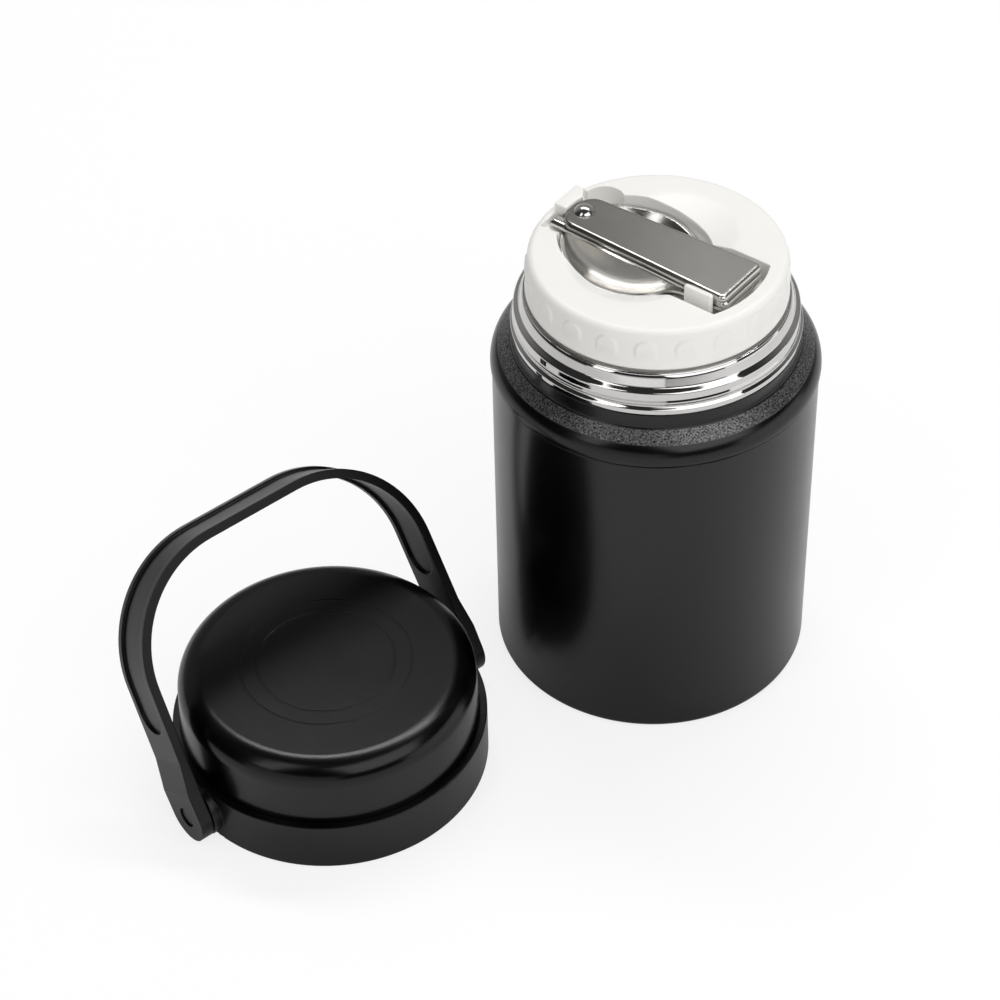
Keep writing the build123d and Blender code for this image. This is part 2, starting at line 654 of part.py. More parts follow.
def make_bail():
    hoop = bail_loop(0, BAIL_THICKNESS, BAIL_WIDTH / 2)
    strip = BAIL_WIDTH / 2 - BAIL_RIM
    reach = BAIL_HALF_SPAN + TALL
    above = block((-reach, reach), (-reach, reach), (BAIL_GROOVE_START + strip, BAIL_HEIGHT + TALL))
    above += Pos(0, 0, BAIL_GROOVE_START + strip) * Rot(0, 90, 0) * Cylinder(strip, 2 * reach)
    grooves = bail_loop(-TALL, BAIL_GROOVE, strip)
    grooves += bail_loop(BAIL_THICKNESS - BAIL_GROOVE, BAIL_THICKNESS + TALL / 2, strip)
    hoop -= grooves & above
    inner = BOSS_REACH + FOOT_GAP
    outer = inner + FOOT_THICKNESS
    half = BAIL_WIDTH / 2
    lean = tan(radians(BAIL_LEAN))
    arm = BAIL_HALF_SPAN - FOOT_TAPER * lean
    for side in (-1, 1):
        foot = make_face(
            Polyline(
                (side * inner, -half), (side * outer, -half), (side * outer, half),
                (side * arm, FOOT_TAPER), (side * (arm - BAIL_THICKNESS), FOOT_TAPER),
                (side * inner, half), close=True,
            )
        )
        hoop += extrude(Plane.XZ * foot, half, both=True)
    round_end = Rot(0, 90, 0) * Cylinder(half, 2 * reach)
    hoop &= round_end + block((-reach, reach), (-half, half), (0, BAIL_HEIGHT + TALL))
    hoop -= Rot(0, 90, 0) * Cylinder(PIN_RADIUS + PIVOT_GAP, 2 * reach)
    sink = outer - PIN_HEAD - PIN_HEAD_SINK - SLIDE_GAP
    for side in (-1, 1):
        bore = Cylinder(PIN_HEAD_RADIUS + SLIDE_GAP, TALL, align=(Align.CENTER, Align.CENTER, Align.MIN))
        hoop -= Pos(side * sink, 0, 0) * Rot(0, side * 90, 0) * bore
    return Pos(0, 0, BAIL_AXIS_HEIGHT) * Rot(-BAIL_TILT, 0, 0) * hoop


def make_pin(side):
    """Headed pin pressed into the boss, its head sunk in the bail's foot."""
    start = BOSS_REACH - PIN_BITE
    head = BOSS_REACH + FOOT_GAP + FOOT_THICKNESS - PIN_HEAD - PIN_HEAD_SINK
    shank = Cylinder(PIN_RADIUS, head - start, align=(Align.CENTER, Align.CENTER, Align.MIN))
    cap = Cylinder(PIN_HEAD_RADIUS, PIN_HEAD, align=(Align.CENTER, Align.CENTER, Align.MIN))
    cap = fillet(cap.edges().group_by(Axis.Z)[-1], 0.4)
    pin = Pos(0, 0, start) * shank + Pos(0, 0, head) * cap
    return Pos(0, 0, BAIL_AXIS_HEIGHT) * Rot(0, side * 90, 0) * pin


# ------------------------------------------------------------------ assembly
def make_pieces():
    pieces = {
        "outer_shell": make_outer_shell(),
        "neck_ring": make_neck_ring(),
        "inner_flask": make_inner_flask(),
        "vacuum_bottom": make_vacuum_bottom(),
        "vacuum_seal": make_vacuum_seal(),
        "getter": make_getter(),
        "base_cup": make_base_cup(),
        "stopper_top": make_stopper_top(),
        "stopper_plug": make_stopper_plug(),
        "stopper_foam": make_stopper_foam(),
        "stopper_gasket": make_stopper_gasket(),
    }
    spoon = {
        "spoon_bowl": make_spoon_bowl(),
        "spoon_link": make_spoon_link(),
        "spoon_handle": make_spoon_handle(),
        "handle_rivet": make_handle_rivet(),
        "bowl_rivet": make_bowl_rivet(),
        "handle_washer": make_washer(HANDLE_PIVOT, LINK_Z, HANDLE_Z - PLATE - SLIDE_GAP),
        "bowl_washer": make_washer(BOWL_PIVOT, STEM_Z + SLIDE_GAP, LINK_Z - PLATE),
    }
    cap = {
        "cap_dome": make_cap_dome(),
        "cap_band": make_cap_band(),
        "cap_liner": make_cap_liner(),
        "cap_foam": make_cap_foam(),
        "bail": make_bail(),
        "pivot_pin_left": make_pin(-1),
        "pivot_pin_right": make_pin(1),
    }
    pieces.update({name: spoon_frame * solid for name, solid in spoon.items()})
    pieces.update({name: cap_frame * solid for name, solid in cap.items()})
    return pieces


os.makedirs("parts", exist_ok=True)
for name, piece in make_pieces().items():
    export_step(piece.solid(), f"parts/{name}.step")
    print(f"{name:18s} solids {len(piece.solids())}  volume {piece.volume:10.1f} mm3")
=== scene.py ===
import bpy
import numpy as np
from mathutils import Matrix, Vector


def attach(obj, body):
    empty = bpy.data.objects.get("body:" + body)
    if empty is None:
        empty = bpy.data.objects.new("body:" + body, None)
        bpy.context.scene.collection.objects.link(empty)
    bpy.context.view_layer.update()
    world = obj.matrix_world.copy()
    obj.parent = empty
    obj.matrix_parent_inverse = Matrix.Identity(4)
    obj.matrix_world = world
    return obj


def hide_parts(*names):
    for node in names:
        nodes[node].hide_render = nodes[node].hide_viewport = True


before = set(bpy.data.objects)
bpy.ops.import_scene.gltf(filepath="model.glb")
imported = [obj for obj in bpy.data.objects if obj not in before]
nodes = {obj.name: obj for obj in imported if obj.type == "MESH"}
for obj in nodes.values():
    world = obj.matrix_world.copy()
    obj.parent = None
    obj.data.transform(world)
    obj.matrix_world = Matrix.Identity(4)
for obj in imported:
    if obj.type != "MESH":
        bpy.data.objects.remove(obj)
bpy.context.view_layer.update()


# ---------------------------------------------------------------- camera
# One long lens on a stand looks down on jar and cap from the front. It is turned a little to
# the left and tipped a little about its own axis.
class Lens:
    """Viewing angle: place in metres, angles in degrees, focal length and sensor width in mm."""

    place = (0.0, -0.660416, 0.660767)
    pitch, yaw, roll = 42.7455, -4.051, -1.507
    focal, sensor = 105.532, 36.0
    nearest, farthest = 0.05, 30.0


def aimed(lens):
    """Turn of the camera: its back is against the line of sight, which is pitch down and yaw aside,
    and its right and up are turned about that line by roll."""
    p, y, r = np.radians([lens.pitch, lens.yaw, lens.roll])
    ahead = np.array([np.sin(y) * np.cos(p), np.cos(y) * np.cos(p), -np.sin(p)])
    right = np.array([np.cos(y), -np.sin(y), 0.0])
    up = np.cross(right, ahead)
    level = np.cos(r) * right + np.sin(r) * up
    rise = np.cos(r) * up - np.sin(r) * right
    return np.stack([level, rise, -ahead], axis=1)


camera = bpy.data.objects.new("camera", bpy.data.cameras.new("camera"))
bpy.context.collection.objects.link(camera)
camera.data.sensor_width = Lens.sensor
camera.data.lens = Lens.focal
camera.data.clip_start, camera.data.clip_end = Lens.nearest, Lens.farthest
camera.matrix_world = Matrix.Translation(Lens.place) @ Matrix(aimed(Lens).tolist()).to_4x4()
bpy.context.scene.camera = camera


# ---------------------------------------------------------------- outer shell
# The jar's outside: deep-drawn steel, sprayed black and baked. The wall has a satin gloss, and
# the slope of the shoulder, where the coat lies thicker, keeps the grain of the spray.
class Link:
    """An output socket of a material's node. Sums and products of links add Math nodes."""

    def __init__(self, tree, socket):
        self.tree, self.socket = tree, socket

    def node(self, kind, settings, out=0, **inputs):
        """A node of that kind: its settings first, then the values or links of its sockets.
        A socket is named, or numbered as i0, i1 and so on."""
        made = self.tree.nodes.new("ShaderNode" + kind)
        for name, value in settings.items():
            setattr(made, name, value)
        for name, value in inputs.items():
            known = name.replace("_", " ")
            socket = made.inputs[known if known in made.inputs else int(name[1:])]
            if isinstance(value, Link):
                self.tree.links.new(value.socket, socket)
            else:
                socket.default_value = value
        return Link(self.tree, made.outputs[out])

    def math(self, operation, a, b):
        """A Math node on two values or links."""
        return self.node("Math", {"operation": operation}, i0=a, i1=b)

    def __add__(self, other):
        return self.math("ADD", self, other)

    __radd__ = __add__

    def __mul__(self, other):
        return self.math("MULTIPLY", self, other)

    __rmul__ = __mul__

    def __sub__(self, other):
        return self.math("SUBTRACT", self, other)

    def __rsub__(self, other):
        return self.math("SUBTRACT", other, self)

    def noise(self, size, detail=2.0):
        """Cloudy pattern in 0 to 1 whose lumps are about size metres across, with detail finer
        layers in it."""
        return self.node("TexNoise", {}, Vector=self, Scale=1 / size, Detail=detail)

    def high(self, axis):
        """One of the three coordinates."""
        return self.node("SeparateXYZ", {}, out=axis, Vector=self)

    def rise(self, low, high):
        """0 below low, 1 above high, smooth between."""
        settings = {"interpolation_type": "SMOOTHSTEP"}
        return self.node("MapRange", settings, Value=self, From_Min=low, From_Max=high)

    def blend(self, low, high):
        """Colour that goes from low to high, colours or links, as this value goes from 0 to 1."""
        return self.node("Mix", {"data_type": "RGBA"}, out=2, i0=self, i6=low, i7=high)

    def tint(self, low, high):
        """Colour between two that are written as red, green and blue."""
        return self.blend((*low, 1), (*high, 1))

    def bump(self, height, under=None):
        """Normal of a surface that stands out by this value times height, in metres, and that
        starts from the normal under it, where one is given."""
        more = {"Normal": under} if under else {}
        return self.node("Bump", {}, Height=self, Distance=height, **more)

    def eased(self, radius):
        """Normal of the piece with its sharp edges rounded to that radius."""
        return self.node("Bevel", {"samples": 6}, Radius=radius)


def finish(name, **constants):
    """Material of that name, whose shader has the constants set, its object coordinates, and the
    function that puts links on the shader's sockets."""
    made = bpy.data.materials.new(name)
    made.use_nodes = True
    tree = made.node_tree
    shader = tree.nodes["Principled BSDF"]
    for socket, value in constants.items():
        shader.inputs[socket.replace("_", " ")].default_value = value
    place = tree.nodes.new("ShaderNodeTexCoord").outputs["Object"]

    def wear(**links):
        for socket, link in links.items():
            tree.links.new(link.socket, shader.inputs[socket.replace("_", " ")])

    return made, Link(tree, place), wear


def dress(material, *names):
    """Give a finish to CAD nodes of those names."""
    for name in names:
        for slot in nodes[name].material_slots:
            slot.material = material


def grid_faces(points, wrap_rows=True):
    """Quads between a grid's neighbours, rows x columns x 3: columns close round, and so do rows
    where asked. They are turned outwards by the sign of the volume that they enclose."""
    rows, columns = points.shape[:2]
    i = np.arange(rows if wrap_rows else rows - 1)[:, None]
    j = np.arange(columns)[None, :]
    after, beside = (i + 1) % rows, (j + 1) % columns
    ring, next_ring = i * columns, after * columns
    quads = np.stack([ring + j, next_ring + j, next_ring + beside, ring + beside], -1)
    quads = quads.reshape(-1, 4)
    flat = points.reshape(-1, 3) - points.mean((0, 1))
    a, b, c, d = (flat[quads[:, k]] for k in range(4))
    volume = (np.cross(a, b) * c).sum() + (np.cross(a, c) * d).sum()
    return quads if volume > 0 else quads[:, ::-1]


def smooth_mesh(name, points, faces):
    """Mesh of those points and faces, shaded smooth."""
    mesh = bpy.data.meshes.new(name)
    mesh.from_pydata(points.tolist(), [], faces)
    mesh.polygons.foreach_set("use_smooth", np.ones(len(faces), bool))
    return mesh


def grid_mesh(name, points):
    """Ring-shaped mesh on a grid whose rows and columns both close round."""
    return smooth_mesh(name, points.reshape(-1, 3), grid_faces(points).tolist())


def piece(name, mesh, material, slot, body, *stands_for):
    """Object on a mesh, with its finish, its body and the CAD nodes it stands for."""
    made = bpy.data.objects.new(name, mesh)
    bpy.context.collection.objects.link(made)
    mesh.materials.append(material)
    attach(made, body)
    if stands_for:
        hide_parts(*stands_for)
    return made


def corner_arc(before, corner, after, radius, step=None):
    """Points of the arc that rounds a corner between its neighbours, about step apart, or 7 of
    them without a step. It touches both runs at radius / tan(half their angle) from the corner."""
    a = (before - corner) / np.linalg.norm(before - corner)
    b = (after - corner) / np.linalg.norm(after - corner)
    half = np.arccos(np.clip(a @ b, -1, 1)) / 2
    centre = corner + (a + b) / np.linalg.norm(a + b) * radius / np.sin(half)
    start = corner + a * radius / np.tan(half) - centre
    end = corner + b * radius / np.tan(half) - centre
    turn = np.arctan2(start[0] * end[1] - start[1] * end[0], start @ end)
    count = max(4, int(abs(turn) * radius / step) + 2) if step else 7
    t = np.linspace(0, turn, count)[:, None]
    return centre + np.cos(t) * start + np.sin(t) * np.array([-start[1], start[0]])


def rounded_path(points, rounds, step):
    """Points about step apart along a polyline whose inner corners are arcs of those radii."""
    points = [np.array(p, float) for p in points]
    corners = zip(points, points[1:], points[2:], rounds)
    arcs = [corner_arc(*corner, step) for corner in corners]
    path = np.concatenate([points[0][None], *arcs, points[-1][None]])
    runs = np.linalg.norm(np.diff(path, axis=0), axis=1)
    apart = runs > 1e-6
    path, runs = path[np.concatenate([[True], apart])], runs[apart]
    dense = [path[:1]]
    for p, q, run in zip(path, path[1:], runs):
        t = np.linspace(0, 1, max(1, int(run / step)) + 1)[1:, None]
        dense.append(p + (q - p) * t)
    return np.concatenate(dense)


def sheet_loop(path, thickness):
    """Closed loop of a path and of its copy, moved to its left by thickness along its normals."""
    along = np.gradient(path, axis=0)
    along /= np.linalg.norm(along, axis=1)[:, None]
    left = np.stack([-along[:, 1], along[:, 0]], -1)
    return np.concatenate([path, (path + left * thickness)[::-1]])


def lathe(path, columns=360):
    """Grid of a (radius, height) loop in mm turned about the jar's axis, in metres."""
    turn = np.linspace(0, 2 * np.pi, columns, endpoint=False)[None, :]
    r, z = path[:, :1], path[:, 1:]
    return np.stack([r * np.cos(turn), r * np.sin(turn), z + 0 * turn], -1) / 1000


BLACK = (0.0003, 0.0003, 0.0003)
FLECK = (0.32, 0.32, 0.32)
GRAIN_LOW, GRAIN_HIGH = 0.1134, 0.1166  # metres between which the shoulder's slope is grained

black_coat, place, wear = finish("black_coat", IOR=1.45)
height = place.high(2)
starts = height.rise(GRAIN_LOW - 0.0001, GRAIN_LOW + 0.0003)
ends = height.rise(GRAIN_HIGH - 0.0003, GRAIN_HIGH)
grainy = starts * (1 - ends)
grain = place.noise(0.0005)
flecks = grain.rise(0.25, 0.85) * grainy
cloud = place.noise(0.012)
wear(
    Base_Color=flecks.tint(BLACK, FLECK),
    Metallic=0.8 * grainy,
    Roughness=0.20 + 0.05 * cloud + 0.16 * grainy,
    Normal=(grain * (0.02 + 0.98 * grainy)).bump(0.00005),
)

SHEET = 0.6  # thickness of the jar's steel in mm
SHELL_PROFILE = [  # radius and height in mm
    (44.0, 0), (48.0, 0), (48.0, 106.7),  # foot and wall
    (47.65, 107.2), (48.5, 107.7),  # crease pressed in under the shoulder
    (48.5, 111.5), (42.4, 116.8), (42.4, 121.6),  # shoulder, its slope and the riser
]
SHELL_ROUNDS = [2.0, 0.2, 0.2, 0.25, 7.2, 0.4]
shell_path = rounded_path(SHELL_PROFILE, SHELL_ROUNDS, step=0.5)
shell = grid_mesh("shell", lathe(sheet_loop(shell_path, SHEET)))
piece("shell", shell, black_coat, "black_coat", "jar", "outer_shell")


# ---------------------------------------------------------------- neck
# Polished stainless neck, rolled from sheet as thick as the flask's: a bead that sits on the
# shoulder's riser, a low ridge of thread that climbs round the wall, and a lip rolled inwards.
def thread_wave(turn, height, foot, pitch, turns, width):
    """Share of a thread's full height at a turn (radians) and a height: one hump, cos^2 across
    width. Its middle climbs by pitch each turn from foot, and it fades in and out at its ends."""
    share = np.zeros(np.broadcast(turn, height).shape)
    for lap in range(-1, int(turns) + 2):
        along = turn / (2 * np.pi) + lap
        off = np.clip((height - foot - along * pitch) / width, -0.5, 0.5)
        ends = np.clip(np.minimum(along, turns - along) / 0.06, 0, 1)
        share = np.maximum(share, np.cos(np.pi * off) ** 2 * ends**2 * (3 - 2 * ends))
    return share


NECK_PROFILE = [  # radius and height in mm
    (41.7, 116.8), (41.7, 121.65), (42.4, 121.75), (42.4, 123.2),  # inside the riser, and bead
    (41.5, 123.9), (41.5, 128.4), (39.95, 129.5), (39.0, 132.4),  # wall, and its way in to the lip
    (38.25, 133.3), (38.0, 133.3), (38.0, 128.0),  # lip, and just inside it
]
NECK_ROUNDS = [0.1, 0.12, 0.35, 0.35, 0.7, 0.7, 1.5, 0.2, 0.05]
WALL_RADIUS, WALL_FOOT, WALL_HEAD = 41.5, 124.0, 127.6  # of the neck's outside, in mm
NECK_THREAD = {"foot": 124.3, "pitch": 2.4, "turns": 0.62, "width": 2.2}
THREAD_HEIGHT = 0.4
OUTER_FACE = 0.0412  # metres from the axis beyond which lies only the wall's outer face
THREAD_START = np.radians(238)  # clockwise from +X

neck_grid = lathe(sheet_loop(rounded_path(NECK_PROFILE, NECK_ROUNDS, step=0.2), SHEET))
turn, z = np.arctan2(neck_grid[..., 1], neck_grid[..., 0]), 1000 * neck_grid[..., 2]
outside = np.hypot(neck_grid[..., 0], neck_grid[..., 1]) > OUTER_FACE
on_wall = (z > WALL_FOOT) & (z < WALL_HEAD) & outside
wave = thread_wave((turn + THREAD_START) % (2 * np.pi), z, **NECK_THREAD)
ridge = THREAD_HEIGHT * on_wall * wave
neck_grid[..., :2] *= 1 + ridge[..., None] / WALL_RADIUS

polished_steel, place, wear = finish("polished_steel", Metallic=1.0)
cloud = place.noise(0.006)
wear(
    Base_Color=cloud.tint((0.62, 0.61, 0.60), (0.69, 0.68, 0.67)),
    Roughness=0.03 + 0.05 * place.noise(0.0008, 3.0),
    Normal=place.noise(0.0004).bump(0.000001),
)
piece("neck", grid_mesh("neck", neck_grid), polished_steel, "polished_steel", "jar", "neck_ring")


# ---------------------------------------------------------------- flask and base
# Steel flask that holds the food, the bottom that closes the vacuum round it, and the pressed
# cup let in under that: plain satin sheet, welded at its edges.
satin_steel, place, wear = finish("satin_steel", Metallic=1.0)
cloud = place.noise(0.01)
wear(
    Base_Color=cloud.tint((0.52, 0.51, 0.50), (0.60, 0.59, 0.575)),
    Roughness=0.26 + 0.12 * place.noise(0.0008, 3.0),
    Normal=place.noise(0.0004).bump(0.000004),
)
dress(satin_steel, "inner_flask", "vacuum_bottom", "base_cup")

# Getter: a pellet of pressed metal powder that takes up stray gas and so holds the vacuum.
# It is spot-welded inside the vacuum bottom.
getter_metal, place, wear = finish("getter_metal", Metallic=1.0)
wear(
    Base_Color=place.noise(0.002).tint((0.22, 0.21, 0.20), (0.34, 0.33, 0.32)),
    Roughness=0.5 + 0.3 * place.noise(0.0005),
)
dress(getter_metal, "getter")

# Seal: a bead of solder glass, melted over the hole in the vacuum bottom through which the jar
# was pumped out.
seal_glass, place, wear = finish("seal_glass", IOR=1.55)
wear(
    Base_Color=place.noise(0.001).tint((0.10, 0.14, 0.12), (0.16, 0.21, 0.18)),
    Roughness=0.1 + 0.1 * place.noise(0.0005),
)
dress(seal_glass, "vacuum_seal")


# ---------------------------------------------------------------- stopper
# Screw-in stopper of white polypropylene: the moulded top with its spoon recess is spin-welded
# to a plug that carries the thread. The moulding has softly rounded edges and a fine matt grain.
white_plastic, place, wear = finish("white_plastic", IOR=1.48)
cloud = place.noise(0.01)
wear(
    Base_Color=cloud.tint((0.85, 0.838, 0.805), (0.875, 0.865, 0.835)),
    Roughness=0.36 + 0.08 * place.noise(0.0009),
    Normal=place.noise(0.0005).bump(0.000005),
)

SPOON_TURN = np.radians(-34.35)  # of the spoon's frame, whose x runs towards its stem end
SKIRT, TOP = 134.4, 146.8  # heights of the skirt's foot and of the flat top, in mm

BOWL_X, BOWL_LONG, BOWL_WIDE = -7.7, 23.3, 20.4  # hollow round the spoon's bowl
BOWL_CENTRE, BOWL_SEMI = 5.2, (25.0, 23.6, 18.8)  # ellipsoid of its floor, from the flat top
SLOT_DEEP, TAB_DEEP, NOTCH_DEEP = -5.5, -1.8, -4.8  # for stem and link, link's end, fingertip
SLOT_NEAR, SLOT_FAR, SLOT_END = -14.1, 12.9, 32.1
TAB_LEFT, TAB_NEAR, TAB_FAR = -34.0, -10.0, 10.7
NOTCH_X, NOTCH_Y, NOTCH_RADIUS = -26.6, 10.9, 5.8
RIM_LAND = 35.6  # radius past which nothing is hollowed out
SCOOPS = ((-3.5, -7.0, 18.7, 29.5, 0.9), (-1.0, 11.0, 17.5, 33.5, 0.5))  # x, y, wide, ball, share
WALL_RUN = 0.7  # over which an upright wall falls


def step(value):
    """0 below 0, 1 above 1, smooth between: 3 v^2 - 2 v^3."""
    v = np.clip(value, 0, 1)
    return v * v * (3 - 2 * v)


def recess(x, y):
    """Depth in mm under the flat top, negative, of all that is hollowed out for the spoon and the
    fingers, and the signed distance to its upright walls. A wall falls by the smooth step; under
    the bowl the floor is an ellipsoid; the two finger scoops are spheres, wide across at the flat
    top, softened and then flattened to a share of their depth."""
    reach = np.hypot(x, y)
    u, v = (x - BOWL_X) / BOWL_LONG, y / BOWL_WIDE
    f = np.hypot(u, v) + 1e-9
    bowl = (f - 1) * f / np.hypot(u / BOWL_LONG, v / BOWL_WIDE).clip(1e-4)
    a, b, c = BOWL_SEMI
    under_bowl = (1 - ((x - BOWL_X) / a) ** 2 - (y / b) ** 2).clip(0)
    bowl_floor = BOWL_CENTRE - c * np.sqrt(under_bowl)
    slot = np.maximum.reduce([-x, SLOT_NEAR - y, y - SLOT_FAR, reach - SLOT_END])
    tab = np.maximum.reduce([TAB_LEFT - x, x - BOWL_X, TAB_NEAR - y, y - TAB_FAR, reach - RIM_LAND])
    notch = np.maximum(np.hypot(x - NOTCH_X, y - NOTCH_Y) - NOTCH_RADIUS, reach - RIM_LAND)
    depth = np.zeros_like(x)
    walled = (bowl, bowl_floor), (slot, SLOT_DEEP), (tab, TAB_DEEP), (notch, NOTCH_DEEP)
    for away, floor in walled:
        depth = np.minimum(depth, floor * step((0.3 - away) / WALL_RUN))
    for cx, cy, wide, ball, share in SCOOPS:
        off = np.hypot(x - cx, y - cy)
        hollow = np.sqrt(ball**2 - wide**2) - np.sqrt((ball**2 - off**2).clip(0))
        depth = np.minimum(depth, 0.5 * share * (hollow - np.hypot(hollow, 0.6)))
    return depth, np.minimum.reduce([bowl, slot, tab, notch])


MIDDLE = 5  # how far the recess's middle lies to the left of the jar's axis
FLAT_RADIUS, RIM_FOOT = 35.25, 144.96  # where the flat top ends and where the skirt begins
RIM_RADIUS, RIM_ROUND, RIM_HEIGHT = 35.255, 2, 144.8  # middle of the arc that rounds the rim
FOOT_RADIUS, FOOT_ROUND, DRAFT = 38.1, 0.4, 12.4  # skirt, 1 mm narrower by each DRAFT of height
INSIDE_RADIUS, TOP_THICKNESS = 36.1, 1.6  # inside of the skirt, and the top's thickness
GRIP_COUNT, FIRST_GRIP = 21, np.radians(-94.1)
GRIP_OUT, GRIP_HALF, GRIP_NECK = 0.5, 3.3, 6.5  # relief, half width, height of the head's centre
GRIP_START, GRIP_FADE = 2.5, 4.5  # height at which it starts, and over which it grows to its full
GRIP_RADIUS = 38  # at which its width is measured


def stopper_rings(columns=720):
    """Rings of the moulded top, each column a ray from (-MIDDLE, 0): the recess from its middle to
    its wall, the flat top, the rounded rim, the skirt and, under all that, the inside. Each grip
    stands out from the drafted skirt under a round head and fades towards the foot."""
    turn = np.linspace(0, 2 * np.pi, columns, endpoint=False)[None, :]
    c, s = np.cos(turn), np.sin(turn)

    def hit(radius):
        """Distance along each ray to a circle about the jar's axis."""
        return MIDDLE * c + np.sqrt(radius**2 - (MIDDLE * s) ** 2)

    t = np.linspace(0, 42, 3000)[:, None]  # fine steps out along each ray, to find the wall
    away = recess(-MIDDLE + t * c, t * s)[1]
    last = away.shape[0] - 1 - np.argmax(away[::-1] <= 0, axis=0)
    edge = t[last, 0][None, :]
    steep = np.take_along_axis(np.gradient(away, axis=0), last[None, :], 0) / t[1, 0]
    spread = 1 / np.clip(steep, 0.4, 1)
    floor_rows = [edge * k for k in np.linspace(0.05, 0.93, 10)]
    wall_rows = [edge + d * spread for d in (-0.75, -0.45, -0.3, -0.15, 0, 0.1, 0.2, 0.3, 0.5)]
    inner = np.minimum(wall_rows[-1], hit(36.6))
    land = np.maximum(hit(FLAT_RADIUS), inner + 0.2)
    flat_rows = [inner + (land - inner) * k for k in np.linspace(0.05, 1, 22)]
    rows, rim = floor_rows + wall_rows + flat_rows, []
    for angle in np.radians([78, 66, 54, 42, 31, 21, 12]):
        out = hit(RIM_RADIUS + RIM_ROUND * np.cos(angle))
        rim.append(np.maximum(out, (rim or flat_rows)[-1] + 0.02))
    rows = np.concatenate(rows + rim)
    x, y = -MIDDLE + rows * c, rows * s
    past = (np.hypot(x, y) - RIM_RADIUS).clip(0, RIM_ROUND)
    round_rim = RIM_HEIGHT + np.sqrt((RIM_ROUND**2 - past**2).clip(0))
    top = np.stack([x, y, np.minimum(TOP + recess(x, y)[0], round_rim)], -1)

    reach = hit(37.25)
    across = np.arctan2(reach * s, -MIDDLE + reach * c)

    def ring_wall(radius, z):
        """Rings at those heights, with a point at each column's angle about the jar's axis."""
        return np.stack([radius * np.cos(across), radius * np.sin(across), z + 0 * across], -1)

    foot = SKIRT + FOOT_ROUND * (1 - np.sin(np.radians([30, 60, 90])))
    z = np.concatenate([np.linspace(RIM_FOOT, SKIRT + FOOT_ROUND, 38), foot])[:, None]
    low = ((SKIRT + FOOT_ROUND - z) / FOOT_ROUND).clip(0, 1)
    radius = FOOT_RADIUS - (z - SKIRT) / DRAFT - FOOT_ROUND * (1 - np.sqrt(1 - low**2))
    pitch = 2 * np.pi / GRIP_COUNT
    beside = GRIP_RADIUS * ((across + SPOON_TURN - FIRST_GRIP + pitch / 2) % pitch - pitch / 2)
    head = z - SKIRT - GRIP_NECK
    inside = GRIP_HALF - np.where(head > 0, np.hypot(beside, head), np.abs(beside))
    radius = radius + GRIP_OUT * step(inside / 0.5) * step((z - SKIRT - GRIP_START) / GRIP_FADE)
    skirt = ring_wall(radius, z)

    z = np.array([SKIRT, SKIRT + 4, 142.0, 144.6])[:, None]
    wall = ring_wall(INSIDE_RADIUS + 0 * z, z)
    keep = sorted({*range(12, 41, 4), *range(10, 19), *range(0, 9, 2)}, reverse=True)
    x, y = x[keep], y[keep]
    under = np.stack([x, y, TOP + recess(x, y)[0] - TOP_THICKNESS], -1)
    return np.concatenate([top, skirt, wall, under])


def rounded_loop(corners, radius):
    """Closed outline through the corners, each of them an arc of that radius in 7 points."""
    corners = np.array(corners, float)
    triples = zip(np.roll(corners, 1, 0), corners, np.roll(corners, -1, 0))
    return np.concatenate([corner_arc(*triple, radius) for triple in triples])


def upright(foot, head, low, waist, high, edge):
    """Rings of a tab that stands from low to high: its outline is foot up to waist and head above,
    and its top edge is rounded, each ring drawn in by edge x (1 - cos t) at edge x sin t."""
    along = np.roll(head, -1, 0) - np.roll(head, 1, 0)
    inwards = np.stack([-along[:, 1], along[:, 0]], -1) / np.linalg.norm(along, axis=1)[:, None]
    rings = [(foot, low), (foot, waist - 0.1), (head, waist + 0.1)]
    for angle in np.radians([0, 15, 30, 45, 60, 75, 90]):
        ring = head + inwards * edge * (1 - np.cos(angle))
        rings.append((ring, high - edge * (1 - np.sin(angle))))
    return np.stack([np.column_stack([ring, np.full(len(ring), z)]) for ring, z in rings])


def spoon_place(rings):
    """Rings in mm in the spoon's frame, turned to the jar's and in metres."""
    c, s = np.cos(SPOON_TURN), np.sin(SPOON_TURN)
    return rings @ np.array([[c, s, 0], [-s, c, 0], [0, 0, 1]]) / 1000


def closed_tube(name, *tubes):
    """Mesh of one or more tubes, each on a grid of rings with a flat cap at each end."""
    points, faces, start = [], [], 0
    for rings in tubes:
        rows, columns = rings.shape[:2]
        quads = grid_faces(rings, wrap_rows=False)
        outwards = 1 if quads[0][0] == 0 else -1
        first, last = np.arange(columns), np.arange((rows - 1) * columns, rows * columns)
        faces += (quads + start).tolist()
        faces += [(first + start)[::outwards].tolist(), (last + start)[::-outwards].tolist()]
        points.append(rings.reshape(-1, 3))
        start += rows * columns
    return smooth_mesh(name, np.concatenate(points), faces)


TAB_RISE = 3.2  # of the clip and the lug above the flat top
CLIP_LEFT, CLIP_RIGHT, CLIP_NEAR, CLIP_FAR = 17.1, 26.3, -12.1, -10.3
LUG_LEFT, LUG_NEAR, LUG_FAR, LUG_TIP = -34.7, -2.7, 8.3, -32.2
clip_corners = [(CLIP_LEFT, CLIP_NEAR), (CLIP_RIGHT, CLIP_NEAR), (CLIP_RIGHT, CLIP_FAR),
                (CLIP_LEFT, CLIP_FAR)]
clip = rounded_loop(clip_corners, 0.7)


def lug_outline(right, bend, corner):
    """Outline of the lug, whose right side runs up to bend and on to a corner beside its tip."""
    ring = [(LUG_LEFT, LUG_NEAR), (right, LUG_NEAR), (right, bend), corner, (LUG_TIP, LUG_FAR),
            (LUG_LEFT, LUG_FAR)]
    return rounded_loop(ring, 0.5)


